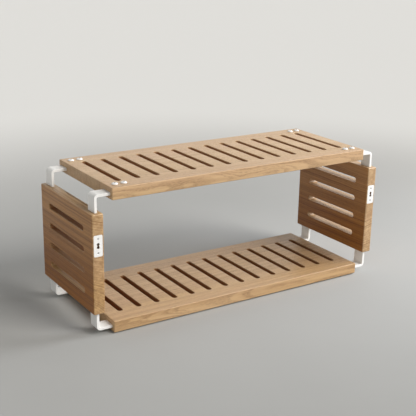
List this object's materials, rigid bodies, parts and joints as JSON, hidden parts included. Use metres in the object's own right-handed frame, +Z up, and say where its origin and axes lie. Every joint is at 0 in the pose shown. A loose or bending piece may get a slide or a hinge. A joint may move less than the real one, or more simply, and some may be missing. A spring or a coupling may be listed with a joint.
{
  "type": "entryway bench",
  "caption": "Low slatted wooden bench with an open shelf under the seat, its boards joined only by bent flat straps at the corners, with keyhole plates in the front edges.",
  "frame": {"origin": "on the floor, under the middle of the bench", "axes": "+X along the bench to the right as seen from the front, +Y from front to back, +Z up"},
  "size_m": [1, 0.345, 0.4246],
  "materials": {
    "oak": "light oak, open-pored matt oil",
    "white_powder_coat": "white satin powder coat",
    "white_fastener_steel": "white enamelled steel fasteners, semi-gloss",
    "glide_nylon": "matt grey-brown nylon"
  },
  "bodies": {
    "root": {"glide_left_back": "glide_nylon", "glide_left_front": "glide_nylon", "glide_right_back": "glide_nylon", "glide_right_front": "glide_nylon", "left_keyhole_plate": "white_powder_coat", "left_keyhole_plate_screw_lower": "white_fastener_steel", "left_keyhole_plate_screw_upper": "white_fastener_steel", "left_side_board": "oak", "right_keyhole_plate": "white_powder_coat", "right_keyhole_plate_screw_lower": "white_fastener_steel", "right_keyhole_plate_screw_upper": "white_fastener_steel", "right_side_board": "oak", "seat_board": "oak", "seat_bolt_left_back_inner": "white_fastener_steel", "seat_bolt_left_back_outer": "white_fastener_steel", "seat_bolt_left_front_inner": "white_fastener_steel", "seat_bolt_left_front_outer": "white_fastener_steel", "seat_bolt_right_back_inner": "white_fastener_steel", "seat_bolt_right_back_outer": "white_fastener_steel", "seat_bolt_right_front_inner": "white_fastener_steel", "seat_bolt_right_front_outer": "white_fastener_steel", "seat_strap_left_back": "white_powder_coat", "seat_strap_left_front": "white_powder_coat", "seat_strap_right_back": "white_powder_coat", "seat_strap_right_front": "white_powder_coat", "shelf_board": "oak", "shelf_bolt_left_back_inner": "white_fastener_steel", "shelf_bolt_left_back_outer": "white_fastener_steel", "shelf_bolt_left_front_inner": "white_fastener_steel", "shelf_bolt_left_front_outer": "white_fastener_steel", "shelf_bolt_right_back_inner": "white_fastener_steel", "shelf_bolt_right_back_outer": "white_fastener_steel", "shelf_bolt_right_front_inner": "white_fastener_steel", "shelf_bolt_right_front_outer": "white_fastener_steel", "shelf_strap_left_back": "white_powder_coat", "shelf_strap_left_front": "white_powder_coat", "shelf_strap_right_back": "white_powder_coat", "shelf_strap_right_front": "white_powder_coat"}
  },
  "joints": []
}
